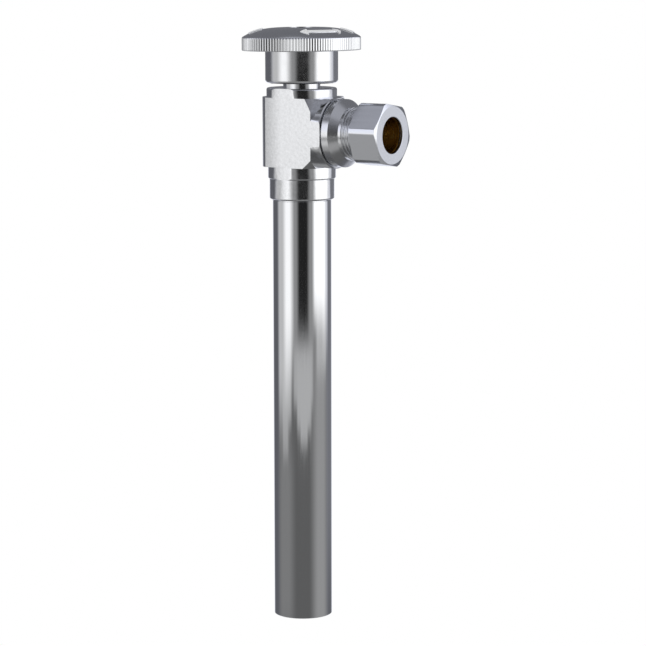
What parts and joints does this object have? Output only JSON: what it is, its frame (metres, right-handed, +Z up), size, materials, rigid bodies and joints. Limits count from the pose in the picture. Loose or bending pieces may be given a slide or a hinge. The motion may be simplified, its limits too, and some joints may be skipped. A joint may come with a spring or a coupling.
{
  "type": "quarter-turn angle valve",
  "caption": "Chrome angle stop valve: straight inlet extension tube below, side compression outlet, and an oval knurled handle that turns a quarter turn.",
  "frame": {"origin": "centre of the inlet tube's open lower end", "axes": "+Z up along the inlet tube, the stem and the handle; +X along the outlet; the body's flats face +Y and -Y"},
  "size_m": [0.0429, 0.0314, 0.161],
  "materials": {
    "plated_body": "chrome plate over machined brass, satin on the flats",
    "polished_tube": "polished chrome plate",
    "plated_handle": "chrome plate on a die casting",
    "plated_adapter": "chrome plate over turned brass",
    "plated_nut": "satin chrome plate",
    "plated_ball": "polished",
    "stem_brass": "turned",
    "ferrule_brass": "turned",
    "screw_steel": "bright zinc plate",
    "seat_plastic": "moulded fluoroplastic",
    "seal_rubber": "moulded nitrile"
  },
  "bodies": {
    "valve": {"body": "plated_body", "extension_tube": "polished_tube", "back_seat": "seat_plastic", "outlet_seat": "seat_plastic", "stem_thrust_washer": "seat_plastic", "outlet_adapter": "plated_adapter", "adapter_seal": "seal_rubber"},
    "handle": {"handle": "plated_handle", "handle_screw": "screw_steel", "stem": "stem_brass", "stem_seal_lower": "seal_rubber", "stem_seal_upper": "seal_rubber", "ball": "plated_ball"},
    "ferrule": {"ferrule": "ferrule_brass"},
    "nut": {"compression_nut": "plated_nut"}
  },
  "joints": [
    {"name": "handle_turn", "type": "hinge", "parent": "valve", "child": "handle", "pos_m": [0, 0, 0.1331], "axis": [0, 0, 1], "range_deg": [-90, 0]},
    {"name": "ferrule_slide", "type": "slide", "parent": "valve", "child": "ferrule", "axis": [1, 0, 0], "range_m": [0, 0.00265]},
    {"name": "nut_turn", "type": "hinge", "parent": "ferrule", "child": "nut", "pos_m": [0.0254, 0, 0.1331], "axis": [1, 0, 0], "range_deg": [0, 900]}
  ],
  "couplings": [
    {"joint": "ferrule_slide", "follows": "nut_turn", "m_per_rad": 0.00016839}
  ]
}
